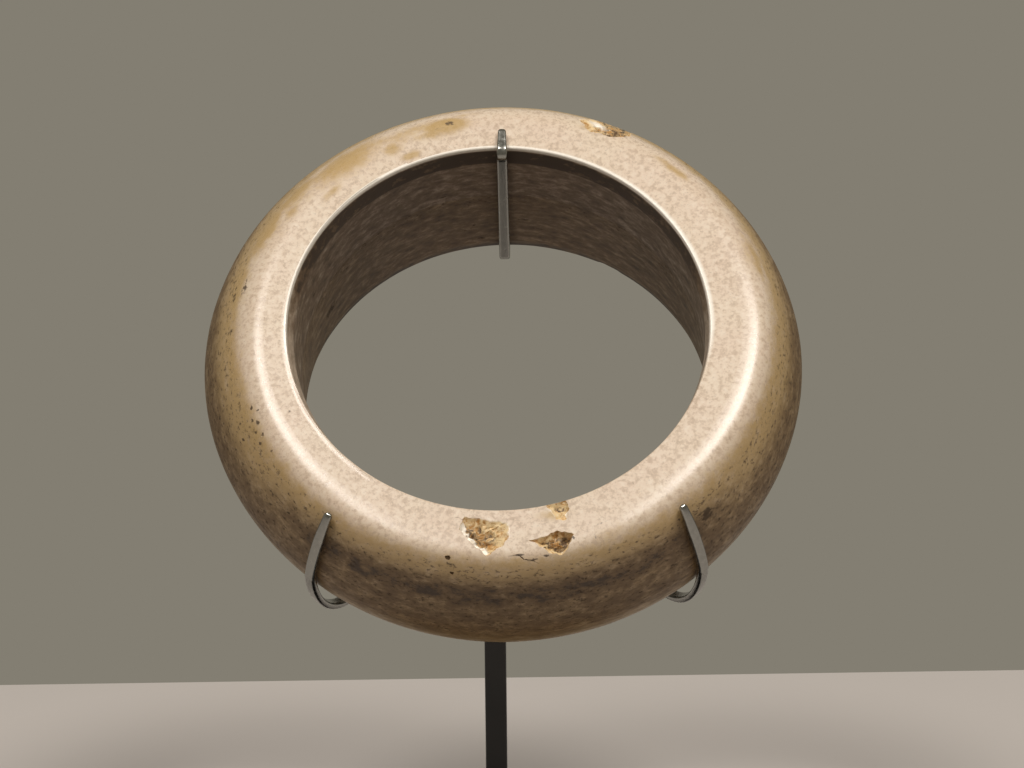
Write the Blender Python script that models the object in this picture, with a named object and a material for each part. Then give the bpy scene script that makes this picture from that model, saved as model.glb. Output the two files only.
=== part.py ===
"""A carved jade bracelet held by three steel claws on a post with a round foot.

The bracelet is a thick ring with a D shaped section: a bore that narrows a little at its waist and
has a small bevel at each end, a flat front face and a wall that swells outwards. It leans back, so that the viewer,
who stands at -Y, looks up into the far side of the bore. Behind it lies a flat hoop. One claw runs
from the hoop through the bore and hooks over the front lip at the top. Two more run round the
outside and end on the front shoulder, lower left and lower right. A square post, mitred against
the back of the hoop, stands in a socket in the foot.

Units are metres and +Z is up. The origin is the middle of the foot's underside, and the post
stands on the Z axis. The bracelet, the hoop and the claws are made in the bracelet's own frame,
with X to the right, Y up in the plane of the ring and Z forwards out of its front face.
"""
from math import cos, hypot, pi, radians, sin

import bmesh
import bpy
from mathutils import Matrix, Vector

MM = 0.001

# Bracelet
OUTER_RADIUS = 42.0 * MM
LIP_RADIUS = 29.35 * MM
HEIGHT = 25.9 * MM
WIDEST_DEPTH = 11.0 * MM          # from the front face back to the widest girth
LIP_LAND = 0.6 * MM               # rounded rim between the bore and either face
LIP_ROUND = 0.3 * MM
CROWN_RADIUS = 34.4 * MM          # the front face is flat out to here, and the wall then falls away
FRONT_BEVEL = 2.7 * MM
FRONT_BEVEL_STEP = 0.75 * MM      # how much narrower the bore is behind the front bevel
WAIST_STEP = 0.95 * MM            # how much narrower it is at mid height
REAR_BEVEL = 2.0 * MM
REAR_STEP = 0.45 * MM             # how much narrower it is in front of the rear bevel
REAR_LIP_STEP = 0.05 * MM         # how much wider its rear lip is than the front one
BORE_SHIFT_FRONT = -0.57 * MM     # the bore was drilled a little off the middle and askew
BORE_SHIFT_REAR = 0.5 * MM
FRONT_FULLNESS = 1.47             # superellipse exponents of the outer wall, 2 is an ellipse
REAR_FULLNESS = 1.8
RING_SEGMENTS = 80
WALL_STEPS = 8

# How the bracelet sits on its mount
LEAN_BACK = radians(45)           # bore axis above the horizontal
RING_CENTRE_HEIGHT = 86.0 * MM    # middle of the front face above the table
RING_SIDE_SHIFT = 1.35 * MM       # the bracelet sits this far to the right of the post

# Hoop and claws
HOOP_OUTSET = 2.95 * MM           # middle of the hoop's width outside the lip of the bore
HOOP_WIDTH = 2.4 * MM
HOOP_THICKNESS = 1.6 * MM
HOOP_EDGE = 0.3 * MM
HOOP_GAP = 0.4 * MM               # free space between the hoop and the rear face
CLAW_WIDTH = 1.55 * MM
CLAW_THICKNESS = 1.0 * MM
CLAW_EDGE = 0.28 * MM
CLAW_TAPER = 0.72                 # width at the tip over full width
CLAW_TAPER_LENGTH = 4.5 * MM
CLAW_CLEARANCE = 0.3 * MM
TOP_CLAW_REACH = 2.65 * MM        # how far its tip lies over the front face, from the lip
TOP_CLAW_LIP_BEND = 1.1 * MM
TOP_CLAW_REAR_BEND = 1.8 * MM
TOP_CLAW_AZIMUTH = radians(90)
LEFT_CLAW_AZIMUTH = radians(-127.6)
LEFT_CLAW_SPLAY = radians(-0.8)   # how far the tip leans out of the claw's upright plane
RIGHT_CLAW_AZIMUTH = radians(-50.9)
RIGHT_CLAW_SPLAY = radians(1.4)
SIDE_CLAW_TIP = 8.5 * MM          # distance of the lower tips from the bore's front lip
BUTT_GAP = 0.3 * MM               # space left at a soldered butt joint
BEND_STEPS = 6                    # cross sections along each stretch of a claw
BORE_RUN_STEPS = 5
LIP_RUN_STEPS = 4
REAR_SWEEP_STEPS = 10
FRONT_SWEEP_STEPS = 9

# Post and foot
POST_SIDE = 3.0 * MM
POST_EDGE = 0.25 * MM
FOOT_RADIUS = 38.0 * MM
FOOT_HEIGHT = 6.0 * MM
FOOT_EDGE = 0.8 * MM
FOOT_SEGMENTS = 96
SOCKET_DEPTH = 4.0 * MM
SOCKET_CLEARANCE = 0.3 * MM

# Chips that a viewer sees from a step away. A place on the wall is its azimuth in degrees and its
# share of the way across, 0 at the front lip and 1 at the widest girth. Each chip has its name, its
# deepest place, its bite into the stone there and the corners of its outline, clockwise from in front
CHIPS = (
    ("chip_low_left", (-96.5, 0.30), 0.95 * MM,
     ((-99.6, 0.07), (-88.0, 0.09), (-87.8, 0.29), (-89.6, 0.39), (-93.3, 0.50), (-100.4, 0.20))),
    ("chip_low_right", (-76.2, 0.38), 0.95 * MM,
     ((-84.2, 0.33), (-77.1, 0.26), (-73.0, 0.33), (-76.8, 0.56), (-80.2, 0.51))),
    ("chip_lip", (-74.2, 0.06), 0.60 * MM,
     ((-78.2, -0.06), (-72.4, -0.06), (-72.3, 0.07), (-74.0, 0.18), (-76.8, 0.14))),
    ("chip_top_right", (64.8, 0.60), 0.80 * MM,
     ((73.9, 0.70), (67.0, 0.80), (61.4, 0.76), (61.6, 0.60), (66.0, 0.50), (70.6, 0.45))),
    ("chip_top_left", (101.9, 0.44), 0.50 * MM,
     ((107.4, 0.38), (104.8, 0.59), (99.4, 0.53), (100.4, 0.35), (103.6, 0.27))),
    ("chip_left", (167.6, 0.60), 0.35 * MM,
     ((170.4, 0.70), (166.0, 0.69), (165.2, 0.56), (169.2, 0.50))),
    ("chip_left_shoulder", (-156.0, 0.56), 0.35 * MM,
     ((-161.2, 0.49), (-156.6, 0.48), (-151.0, 0.60), (-152.2, 0.67), (-158.2, 0.64))),
)
CHIP_REACH = 1.4                  # cutters run on past the stone's surface by this factor
CHIP_LIFT = 0.4 * MM
REAR_CHIP_AZIMUTH = radians(60)   # a broken stretch of the bore's rear rim
REAR_CHIP_LENGTH = 5.0 * MM
REAR_CHIP_WIDTH = 1.5 * MM
REAR_CHIP_BITE = 0.6 * MM

# Sizes that follow from those above
WALL_START = LIP_RADIUS + LIP_LAND
REAR_LIP_RADIUS = LIP_RADIUS + REAR_LIP_STEP
HOOP_RADIUS = LIP_RADIUS + HOOP_OUTSET
HOOP_FRONT = -(HEIGHT + HOOP_GAP)
HOOP_BACK = HOOP_FRONT - HOOP_THICKNESS
HOOP_MIDDLE = (HOOP_FRONT + HOOP_BACK) / 2


def linear(hex_colour):
    """Turns an sRGB colour such as "E8D6C0" into linear red, green, blue and alpha."""
    channels = [int(hex_colour[i:i + 2], 16) / 255 for i in (0, 2, 4)]
    return [c / 12.92 if c <= 0.04045 else ((c + 0.055) / 1.055) ** 2.4 for c in channels] + [1.0]


def finish(name, hex_colour, roughness, metallic):
    material = bpy.data.materials.new(name)
    material.use_nodes = True
    shader = material.node_tree.nodes["Principled BSDF"]
    shader.inputs["Base Color"].default_value = linear(hex_colour)
    shader.inputs["Roughness"].default_value = roughness
    shader.inputs["Metallic"].default_value = metallic
    material.diffuse_color = linear(hex_colour)
    return material


def face_outwards(shape):
    bmesh.ops.recalc_face_normals(shape, faces=shape.faces)
    return shape


def add_object(name, shape, material=None, parent=None, sharp_angle=radians(38)):
    """Turns a bmesh into a linked, smooth shaded object."""
    mesh = bpy.data.meshes.new(name)
    shape.to_mesh(mesh)
    shape.free()
    mesh.shade_smooth()
    mesh.set_sharp_from_angle(angle=sharp_angle)
    obj = bpy.data.objects.new(name, mesh)
    bpy.context.collection.objects.link(obj)
    obj.parent = parent
    if material:
        mesh.materials.append(material)
    return obj


def cut(target, cutter):
    """Takes the cutter's shape out of the target and leaves the cutter as a wire guide."""
    cutter.hide_render = True
    cutter.display_type = "WIRE"
    modifier = target.modifiers.new("cut " + cutter.name, "BOOLEAN")
    modifier.operation = "DIFFERENCE"
    modifier.solver = "EXACT"
    modifier.object = cutter


def bridge_rings(shape, rings):
    """Joins each ring of vertices to the next one, and the last one to the first."""
    for here, there in zip(rings, rings[1:] + rings[:1]):
        for i in range(len(here)):
            j = (i + 1) % len(here)
            shape.faces.new((here[i], here[j], there[j], there[i]))


def superellipse(start, end, fullness, steps):
    """Points of a quarter superellipse, level at its start and upright at its end."""
    points = []
    for i in range(steps + 1):
        turn = i / steps * pi / 2
        across = sin(turn) ** (2 / fullness)
        along = 1 - max(cos(turn), 0.0) ** (2 / fullness)
        points.append((start[0] + (end[0] - start[0]) * across, start[1] + (end[1] - start[1]) * along))
    return points


def front_wall_depth(radius):
    """Depth of the outer wall below the front face, at a radius in front of the widest girth."""
    share = min(max((radius - CROWN_RADIUS) / (OUTER_RADIUS - CROWN_RADIUS), 0.0), 1.0)
    return WIDEST_DEPTH * (1 - (1 - share ** FRONT_FULLNESS) ** (1 / FRONT_FULLNESS))


def wall_point(share):
    """A point on the front of the wall, share 0 at the lip and 1 at the girth, and its normal."""
    radius = WALL_START + (OUTER_RADIUS - WALL_START) * share
    step = (OUTER_RADIUS - WALL_START) * 0.01
    fall = front_wall_depth(radius + step) - front_wall_depth(radius - step)
    length = hypot(2 * step, fall)
    return radius, -front_wall_depth(radius), fall / length, 2 * step / length


def bracelet_section():
    """The closed D shaped section, as radius and height above the front face."""
    girth = (OUTER_RADIUS, -WIDEST_DEPTH)
    front = superellipse((CROWN_RADIUS, 0.0), girth, FRONT_FULLNESS, WALL_STEPS)
    rear_land = (REAR_LIP_RADIUS + LIP_ROUND, -HEIGHT)
    rear = superellipse(rear_land, girth, REAR_FULLNESS, WALL_STEPS)[-2::-1]
    rear_bevel = (LIP_RADIUS - REAR_STEP, -(HEIGHT - REAR_BEVEL))
    waist = (LIP_RADIUS - WAIST_STEP, -HEIGHT / 2)
    front_bevel = (LIP_RADIUS - FRONT_BEVEL_STEP, -FRONT_BEVEL)
    rims = [(REAR_LIP_RADIUS, -(HEIGHT - LIP_ROUND)), rear_bevel, waist, front_bevel, (LIP_RADIUS, -LIP_ROUND)]
    land = (LIP_RADIUS + LIP_ROUND, 0.0)
    return front + rear + rims + [land]


def bore_shift(radius, height):
    """Sideways place of the circle at this height: only the bore is off the middle."""
    if radius > REAR_LIP_RADIUS + LIP_LAND:
        return 0.0
    return BORE_SHIFT_FRONT + (BORE_SHIFT_REAR - BORE_SHIFT_FRONT) * -height / HEIGHT


def turned_ring(section, segments, shift):
    """Turns a closed section about the Z axis, with each circle moved sideways by its shift."""
    shape = bmesh.new()
    rings = []
    for radius, height in section:
        offset = shift(radius, height)
        turns = [2 * pi * i / segments for i in range(segments)]
        rings.append([shape.verts.new((offset + radius * cos(t), radius * sin(t), height)) for t in turns])
    bridge_rings(shape, rings)
    return face_outwards(shape)


def wall_place(azimuth, share):
    """A place on the front of the wall, and the direction out of the stone there."""
    radius, height, outwards, forwards = wall_point(share)
    outward = Vector((cos(radians(azimuth)), sin(radians(azimuth)), 0))
    upright = Vector((0, 0, 1))
    return outward * radius + upright * height, (outward * outwards + upright * forwards).normalized()


def chip_cutter(name, deepest, bite, corners, parent):
    """A many sided point that leaves a broken scar with flat facets in the wall."""
    surface, normal = wall_place(*deepest)
    shape = bmesh.new()
    tip = shape.verts.new(surface - normal * bite)
    rim = []
    for azimuth, share in corners:
        edge, _ = wall_place(azimuth, share)
        rim.append(shape.verts.new(tip.co + (edge - tip.co) * CHIP_REACH + normal * CHIP_LIFT))
    middle = sum((v.co for v in rim), Vector()) / len(rim)
    lid = shape.verts.new(middle + normal * CHIP_LIFT)
    for here, there in zip(rim, rim[1:] + rim[:1]):
        shape.faces.new((tip, here, there))
        shape.faces.new((lid, there, here))
    return add_object(name, shape, parent=parent)


def rear_chip_cutter(parent):
    """A long low wedge across the bore's rear rim."""
    outward = Vector((cos(REAR_CHIP_AZIMUTH), sin(REAR_CHIP_AZIMUTH), 0))
    around = Vector((-sin(REAR_CHIP_AZIMUTH), cos(REAR_CHIP_AZIMUTH), 0))
    normal = (-outward - Vector((0, 0, 1))).normalized()
    rim = outward * REAR_LIP_RADIUS + Vector((bore_shift(REAR_LIP_RADIUS, -HEIGHT), 0, -HEIGHT))
    shape = bmesh.new()
    bmesh.ops.create_icosphere(shape, subdivisions=1, radius=1.0)
    turn = Matrix((around, normal.cross(around), normal)).transposed().to_4x4()
    size = Matrix.Diagonal((REAR_CHIP_LENGTH / 2, REAR_CHIP_WIDTH / 2, REAR_CHIP_BITE, 1))
    shape.transform(Matrix.Translation(rim) @ turn @ size)
    return add_object("chip_rear", shape, parent=parent)


def make_bracelet(frame):
    jade = finish("altered jade", "D9C5A6", 0.42, 0.0)
    bracelet = add_object("bracelet", turned_ring(bracelet_section(), RING_SEGMENTS, bore_shift), jade, frame)
    for name, deepest, bite, corners in CHIPS:
        cut(bracelet, chip_cutter(name, deepest, bite, corners, frame))
    cut(bracelet, rear_chip_cutter(frame))


def make_hoop(steel, frame):
    """A flat band behind the bracelet, to which the claws and the post are soldered."""
    inner = HOOP_RADIUS - HOOP_WIDTH / 2
    outer = HOOP_RADIUS + HOOP_WIDTH / 2
    section = []
    for radius, side in ((outer, -1), (inner, 1)):
        ends = [(radius, HOOP_FRONT - HOOP_EDGE), (radius, HOOP_BACK + HOOP_EDGE)]
        faces = [(radius + side * HOOP_EDGE, HOOP_FRONT), (radius + side * HOOP_EDGE, HOOP_BACK)]
        corner = [faces[0], ends[0], ends[1], faces[1]]
        section += corner if radius == outer else corner[::-1]
    return add_object("back_hoop", turned_ring(section, RING_SEGMENTS, lambda radius, height: 0.0), steel, frame)


def bent_strip(path, azimuth, splay):
    """A strip with softened edges along a path of radius and height, tapering to its last point."""
    forward = Vector((0, 0, 1))
    lengths = [0.0]
    for here, there in zip(path, path[1:]):
        lengths.append(lengths[-1] + hypot(there[0] - here[0], there[1] - here[1]))
    shape = bmesh.new()
    rings = []
    for i, (radius, height) in enumerate(path):
        angle = azimuth + splay * (lengths[i] / lengths[-1]) ** 2
        outward = Vector((cos(angle), sin(angle), 0))
        around = Vector((-sin(angle), cos(angle), 0))
        before = path[max(i - 1, 0)]
        after = path[min(i + 1, len(path) - 1)]
        run = hypot(after[0] - before[0], after[1] - before[1])
        side = (-(after[1] - before[1]) / run, (after[0] - before[0]) / run)
        left_to_tip = min((lengths[-1] - lengths[i]) / CLAW_TAPER_LENGTH, 1.0)
        scale = CLAW_TAPER + (1 - CLAW_TAPER) * left_to_tip
        half_width = CLAW_WIDTH / 2 * scale
        half_thickness = CLAW_THICKNESS / 2 * scale
        edge = CLAW_EDGE * scale
        inner_width = half_width - edge
        inner_thickness = half_thickness - edge
        corners = [(half_width, inner_thickness), (inner_width, half_thickness)]
        corners += [(-w, t) for w, t in corners[::-1]]
        corners += [(-w, -t) for w, t in corners]
        ring = []
        for width, thickness in corners:
            place = outward * (radius + side[0] * thickness) + forward * (height + side[1] * thickness)
            ring.append(shape.verts.new(place + around * width))
        rings.append(ring)
    for here, there in zip(rings, rings[1:]):
        for i in range(len(here)):
            j = (i + 1) % len(here)
            shape.faces.new((here[i], here[j], there[j], there[i]))
    shape.faces.new(rings[0])
    shape.faces.new(rings[-1])
    return face_outwards(shape)


def arc(centre, radius, start, end, steps):
    """Points of an arc in the plane of radius and height, angles in degrees."""
    turns = [radians(start + (end - start) * i / steps) for i in range(steps + 1)]
    return [(centre[0] + radius * cos(t), centre[1] + radius * sin(t)) for t in turns]


def straight(start, end, steps):
    """Points from start to end, without the two ends."""
    shares = [i / steps for i in range(1, steps)]
    return [(start[0] + (end[0] - start[0]) * s, start[1] + (end[1] - start[1]) * s) for s in shares]


def top_claw_path():
    """From the hoop inwards, forwards along the bore and outwards over the front lip."""
    run = LIP_RADIUS - WAIST_STEP - CLAW_CLEARANCE - CLAW_THICKNESS / 2
    over = CLAW_CLEARANCE + CLAW_THICKNESS / 2
    start = (HOOP_RADIUS - HOOP_WIDTH / 2 - BUTT_GAP, HOOP_MIDDLE)
    rear_centre = (run + TOP_CLAW_REAR_BEND, HOOP_MIDDLE + TOP_CLAW_REAR_BEND)
    rear_bend = arc(rear_centre, TOP_CLAW_REAR_BEND, 270, 180, BEND_STEPS)
    lip_centre = (run + TOP_CLAW_LIP_BEND, over - TOP_CLAW_LIP_BEND)
    front_bend = arc(lip_centre, TOP_CLAW_LIP_BEND, 180, 90, BEND_STEPS)
    tip = (LIP_RADIUS + TOP_CLAW_REACH, over)
    wall = straight(rear_bend[-1], front_bend[0], BORE_RUN_STEPS)
    lip_run = straight(front_bend[-1], tip, LIP_RUN_STEPS)
    return [start] + rear_bend + wall + front_bend + lip_run + [tip]


def side_claw_path():
    """From the hoop outwards round the back of the wall, then along it to the front shoulder."""
    over = CLAW_CLEARANCE + CLAW_THICKNESS / 2
    start = (HOOP_RADIUS + HOOP_WIDTH / 2 + BUTT_GAP, HOOP_MIDDLE)
    girth = (OUTER_RADIUS + over, -WIDEST_DEPTH)
    rear = superellipse(start, girth, 2.0, REAR_SWEEP_STEPS)
    tip_share = (SIDE_CLAW_TIP - LIP_LAND) / (OUTER_RADIUS - WALL_START)
    front = []
    # Even steps of the wall's own quarter turn, from the girth back to the tip
    tip_turn = tip_share ** (FRONT_FULLNESS / 2)
    for i in range(1, FRONT_SWEEP_STEPS + 1):
        way = i / FRONT_SWEEP_STEPS
        share = sin(pi / 2 * (1 - way) + tip_turn * way) ** (2 / FRONT_FULLNESS)
        radius, height, outwards, forwards = wall_point(share)
        front.append((radius + outwards * over, height + forwards * over))
    return rear + front


def make_claws(steel, frame):
    for name, path, azimuth, splay in (
            ("claw_top", top_claw_path(), TOP_CLAW_AZIMUTH, 0.0),
            ("claw_left", side_claw_path(), LEFT_CLAW_AZIMUTH, LEFT_CLAW_SPLAY),
            ("claw_right", side_claw_path(), RIGHT_CLAW_AZIMUTH, RIGHT_CLAW_SPLAY)):
        add_object(name, bent_strip(path, azimuth, splay), steel, frame)


def make_post(black, ring_centre):
    """A square bar whose top is mitred to lie flat against the back of the leaning hoop."""
    depth = -HOOP_BACK + BUTT_GAP
    half = POST_SIDE / 2
    shape = bmesh.new()
    bmesh.ops.create_cube(shape, size=1.0)
    bottom = FOOT_HEIGHT - SOCKET_DEPTH + SOCKET_CLEARANCE
    for vertex in shape.verts:
        at_top = vertex.co.z > 0
        x = half if vertex.co.x > 0 else -half
        y = half if vertex.co.y > 0 else -half
        mitre = ring_centre.z + (cos(LEAN_BACK) * (y - ring_centre.y) - depth) / sin(LEAN_BACK)
        vertex.co = (x, y, mitre if at_top else bottom)
    uprights = [e for e in shape.edges if abs(e.verts[0].co.z - e.verts[1].co.z) > POST_SIDE * 1.5]
    bmesh.ops.bevel(shape, geom=uprights, offset=POST_EDGE, segments=2, profile=0.5, affect="EDGES")
    add_object("post", face_outwards(shape), black, sharp_angle=radians(50))


def make_foot(black):
    """A round steel plate with softened rims and a blind square socket for the post."""
    section = [(FOOT_RADIUS - FOOT_EDGE, 0.0), (FOOT_RADIUS, FOOT_EDGE)]
    section += [(FOOT_RADIUS, FOOT_HEIGHT - FOOT_EDGE), (FOOT_RADIUS - FOOT_EDGE, FOOT_HEIGHT)]
    shape = bmesh.new()
    rings = []
    for radius, height in section:
        turns = [2 * pi * i / FOOT_SEGMENTS for i in range(FOOT_SEGMENTS)]
        rings.append([shape.verts.new((radius * cos(t), radius * sin(t), height)) for t in turns])
    for here, there in zip(rings, rings[1:]):
        for i in range(FOOT_SEGMENTS):
            j = (i + 1) % FOOT_SEGMENTS
            shape.faces.new((here[i], here[j], there[j], there[i]))
    shape.faces.new(rings[0])
    shape.faces.new(rings[-1])
    foot = add_object("foot", face_outwards(shape), black)
    socket = bmesh.new()
    bmesh.ops.create_cube(socket, size=1.0)
    side = POST_SIDE + 2 * SOCKET_CLEARANCE
    depth = SOCKET_DEPTH * 2
    socket.transform(Matrix.Translation((0, 0, FOOT_HEIGHT)) @ Matrix.Diagonal((side, side, depth, 1)))
    cut(foot, add_object("socket_cutter", socket))


def main():
    for obj in list(bpy.data.objects):
        bpy.data.objects.remove(obj, do_unlink=True)
    # The post's axis meets the middle of the hoop's lowest point
    depth = -HOOP_BACK
    centre_y = HOOP_RADIUS * sin(LEAN_BACK) - depth * cos(LEAN_BACK)
    ring_centre = Vector((RING_SIDE_SHIFT, centre_y, RING_CENTRE_HEIGHT))
    frame = bpy.data.objects.new("ring_frame", None)
    bpy.context.collection.objects.link(frame)
    frame.location = ring_centre
    frame.rotation_euler = (pi / 2 - LEAN_BACK, 0, 0)
    make_bracelet(frame)
    steel = finish("polished steel", "8A8880", 0.25, 1.0)
    make_hoop(steel, frame)
    make_claws(steel, frame)
    black = finish("black lacquer", "1E1C1A", 0.35, 0.0)
    make_post(black, ring_centre)
    make_foot(black)


main()
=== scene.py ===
# %% [markdown]
# # An old jade bracelet on its claw mount
# The bracelet is one thick ring, cut from a block of nephrite and ground smooth by hand. Thousands
# of years in the ground have turned the green stone into an opaque cream, with tan and brown stains
# where water has found its way in. It leans back in three polished steel claws, which stand on a
# black post with a round foot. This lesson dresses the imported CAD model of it, piece by piece.

# %% Load the CAD model as a fixed frame
from math import atan2, cos, degrees, hypot, pi, radians, sin

import bmesh
import bpy
import numpy as np
from mathutils import Matrix, Vector, noise


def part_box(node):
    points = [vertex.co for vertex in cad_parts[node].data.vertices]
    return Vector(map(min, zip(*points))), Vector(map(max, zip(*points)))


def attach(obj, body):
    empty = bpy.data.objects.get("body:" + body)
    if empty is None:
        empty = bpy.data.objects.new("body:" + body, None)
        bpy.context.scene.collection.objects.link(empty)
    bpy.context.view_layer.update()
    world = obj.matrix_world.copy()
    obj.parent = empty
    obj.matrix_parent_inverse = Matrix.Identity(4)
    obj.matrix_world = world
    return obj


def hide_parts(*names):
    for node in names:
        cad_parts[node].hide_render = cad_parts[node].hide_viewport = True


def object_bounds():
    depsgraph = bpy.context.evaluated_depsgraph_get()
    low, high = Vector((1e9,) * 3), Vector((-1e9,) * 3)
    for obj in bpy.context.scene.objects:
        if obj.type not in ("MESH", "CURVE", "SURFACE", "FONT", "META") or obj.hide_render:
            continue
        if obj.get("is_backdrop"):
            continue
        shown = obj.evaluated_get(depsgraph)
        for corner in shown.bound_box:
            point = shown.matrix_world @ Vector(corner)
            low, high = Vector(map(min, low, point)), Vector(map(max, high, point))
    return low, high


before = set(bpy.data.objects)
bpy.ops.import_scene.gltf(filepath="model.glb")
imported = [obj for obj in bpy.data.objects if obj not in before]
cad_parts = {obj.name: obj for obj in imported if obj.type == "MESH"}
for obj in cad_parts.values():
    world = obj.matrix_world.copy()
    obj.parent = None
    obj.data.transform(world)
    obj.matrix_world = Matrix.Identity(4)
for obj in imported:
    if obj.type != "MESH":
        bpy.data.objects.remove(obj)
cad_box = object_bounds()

MM = 0.001
print("nodes of the CAD model:", sorted(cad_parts))

# %% [markdown]
# ## The bracelet's own frame
# The ring is round about its bore, so it is easiest to make in a frame of its own, and to lean back
# afterwards. In that frame Z points forwards out of the front face, and Y points up in the plane of
# the ring. A place on the ring is then its angle round the bore and its distance from the middle.
# The sizes repeat those of the CAD model, because both have to be the same object.

# %% Sizes of the ring and its place on the mount
OUTER_RADIUS = 42.0
LIP_RADIUS = 29.35
HEIGHT = 25.9
WIDEST_DEPTH = 11.0
LIP_LAND = 0.6
CROWN_RADIUS = 34.4
CROWN_WEAR = 1.4
FRONT_FULLNESS = 1.47
REAR_FULLNESS = 1.8
REAR_LIP_RADIUS = 29.4
WALL_START = LIP_RADIUS + LIP_LAND
BORE_SHIFT_FRONT = -0.57
BORE_SHIFT_REAR = 0.5
LEAN_BACK = radians(45)
HOOP_RADIUS = 32.3
HOOP_WIDTH = 2.4
HOOP_FRONT = -26.3
HOOP_BACK = -27.9
RING_SIDE_SHIFT = 1.35
RING_CENTRE_HEIGHT = 86.0
RING_CENTRE_BACK = HOOP_RADIUS * sin(LEAN_BACK) + HOOP_BACK * cos(LEAN_BACK)

ring_place = Matrix.Translation(Vector((RING_SIDE_SHIFT, RING_CENTRE_BACK, RING_CENTRE_HEIGHT)) * MM)
ring_to_row = ring_place @ Matrix.Rotation(pi / 2 - LEAN_BACK, 4, "X") @ Matrix.Scale(MM, 4)
print("the middle of the front face is at", [round(v * 1000, 2) for v in ring_to_row.translation], "mm")

# %% [markdown]
# ## Small helpers
# Colours are written as sRGB hex values, as a paint chart gives them, and Blender wants them linear.
# The other helpers add an object or one node: what it is, its settings, and what goes into it.

# %% Colour and node helpers
def linear(hex_colour):
    channels = [int(hex_colour[i:i + 2], 16) / 255 for i in (0, 2, 4)]
    return [c / 12.92 if c <= 0.04045 else ((c + 0.055) / 1.055) ** 2.4 for c in channels] + [1.0]


def add_object(name, data):
    """An object that is linked to the scene."""
    made = bpy.data.objects.new(name, data)
    bpy.context.scene.collection.objects.link(made)
    return made


def feed(tree, node, inputs):
    """Sets sockets, by name or number, to values, or links them to an output or a node's first output."""
    for socket, value in inputs.items():
        if isinstance(value, bpy.types.Node):
            value = value.outputs[0]
        if isinstance(value, bpy.types.NodeSocket):
            tree.links.new(value, node.inputs[socket])
        else:
            node.inputs[socket].default_value = value


def add_node(tree, kind, inputs=None, **settings):
    """Adds a node of this kind, with its settings and what goes into its sockets."""
    node = tree.nodes.new(kind)
    for name, value in settings.items():
        setattr(node, name, value)
    feed(tree, node, inputs or {})
    return node


def new_material(name):
    """A material with an empty tree, its Principled shader and its Object coordinates."""
    material = bpy.data.materials.new(name)
    material.use_nodes = True
    tree = material.node_tree
    tree.nodes.clear()
    shader = add_node(tree, "ShaderNodeBsdfPrincipled")
    add_node(tree, "ShaderNodeOutputMaterial", {"Surface": shader})
    place = add_node(tree, "ShaderNodeTexCoord").outputs["Object"]
    return material, tree, shader, place


def per(size_mm):
    """The scale of a pattern whose features are this many millimetres across."""
    return 1 / (size_mm * MM)


print("mid grey 808080 is", round(linear("808080")[0], 3), "in linear light")

# %% [markdown]
# ## The camera
# A long lens about 0.6 m away, a little above the ring and looking down on it. The three angles come
# from fitting the turned shape to the picture of the real one, so the outline agrees with it.

# %% Make the camera
CAMERA_PLACE = Vector((9.89, -602.51, 231.28))
CAMERA_TURN = (75.75, 0.574, 0.537)
LENS = 158.2

camera = add_object("camera", bpy.data.cameras.new("camera"))
camera.location = CAMERA_PLACE * MM
camera.rotation_euler = [radians(angle) for angle in CAMERA_TURN]
camera.data.lens = LENS
camera.data.sensor_width = 36
camera.data.clip_start = 0.01
bpy.context.scene.camera = camera
print("camera with a", LENS, "mm lens")

# %% [markdown]
# ## The altered jade
# Nephrite is a dense, tough stone that takes a soft polish. Buried, it leaches and turns chalky, and
# iron from the soil stains it tan and olive. To the eye it is an opaque pinkish cream, mottled with
# grey specks finer than a millimetre, and its worn polish still gives a clear, soft highlight.
# Stains have places on this one bracelet, so the mesh carries numbers at each point: how ochre it
# is, how brown (with painted shade in the same number), how dirty, how pale (with the lip's painted
# highlight in the same number), and how deep it lies in a broken scar. Noise breaks the edges.

# %% Build the jade's skin material
def tinted(tree, colour, layers):
    """Layers of colour over a base. Each is none where its amount is below low, and full above high."""
    for amount, low, high, strength, hex_colour in layers:
        mask = add_node(tree, "ShaderNodeMapRange", {
            "Value": amount, "From Min": low, "From Max": high, "To Max": strength},
            interpolation_type="SMOOTHSTEP")
        tones = {0: mask, 6: colour, 7: linear(hex_colour)}
        colour = add_node(tree, "ShaderNodeMix", tones, data_type="RGBA").outputs[2]
    return colour


SQUEEZE = 2.2
JADE_IOR = 1.61
DIRTY = (0.92, 1.06)

jade, tree, shader, place = new_material("altered_nephrite_skin")
# Ring coordinates, squeezed along the bore, so that streaks run round the ring as the bedding does
turned = add_node(tree, "ShaderNodeVectorRotate", {
    "Vector": place, "Angle": -(pi / 2 - LEAN_BACK)}, rotation_type="X_AXIS")
streaky = add_node(tree, "ShaderNodeVectorMath", {0: turned, 1: (1.0, 1.0, SQUEEZE)}, operation="MULTIPLY")
clouds = add_node(tree, "ShaderNodeTexNoise", {"Vector": place, "Scale": per(6.0), "Detail": 3.0})
mottle = add_node(tree, "ShaderNodeTexNoise", {
    "Vector": place, "Scale": per(0.75), "Detail": 5.0, "Roughness": 0.66})
grain = add_node(tree, "ShaderNodeTexNoise", {
    "Vector": place, "Scale": per(0.34), "Detail": 3.0, "Roughness": 0.6})
stain_edge = add_node(tree, "ShaderNodeTexNoise", {
    "Vector": streaky, "Scale": per(2.4), "Detail": 9.0, "Roughness": 0.70})
dirt_edge = add_node(tree, "ShaderNodeTexNoise", {
    "Vector": streaky, "Scale": per(0.8), "Detail": 6.0, "Roughness": 0.70})
ochre = add_node(tree, "ShaderNodeAttribute", attribute_name="ochre").outputs["Fac"]
ochre = add_node(tree, "ShaderNodeMath", {0: mottle, 1: 0.7, 2: ochre}, operation="MULTIPLY_ADD")
ochre = add_node(tree, "ShaderNodeMath", {0: ochre, 1: stain_edge}, operation="ADD")
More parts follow.
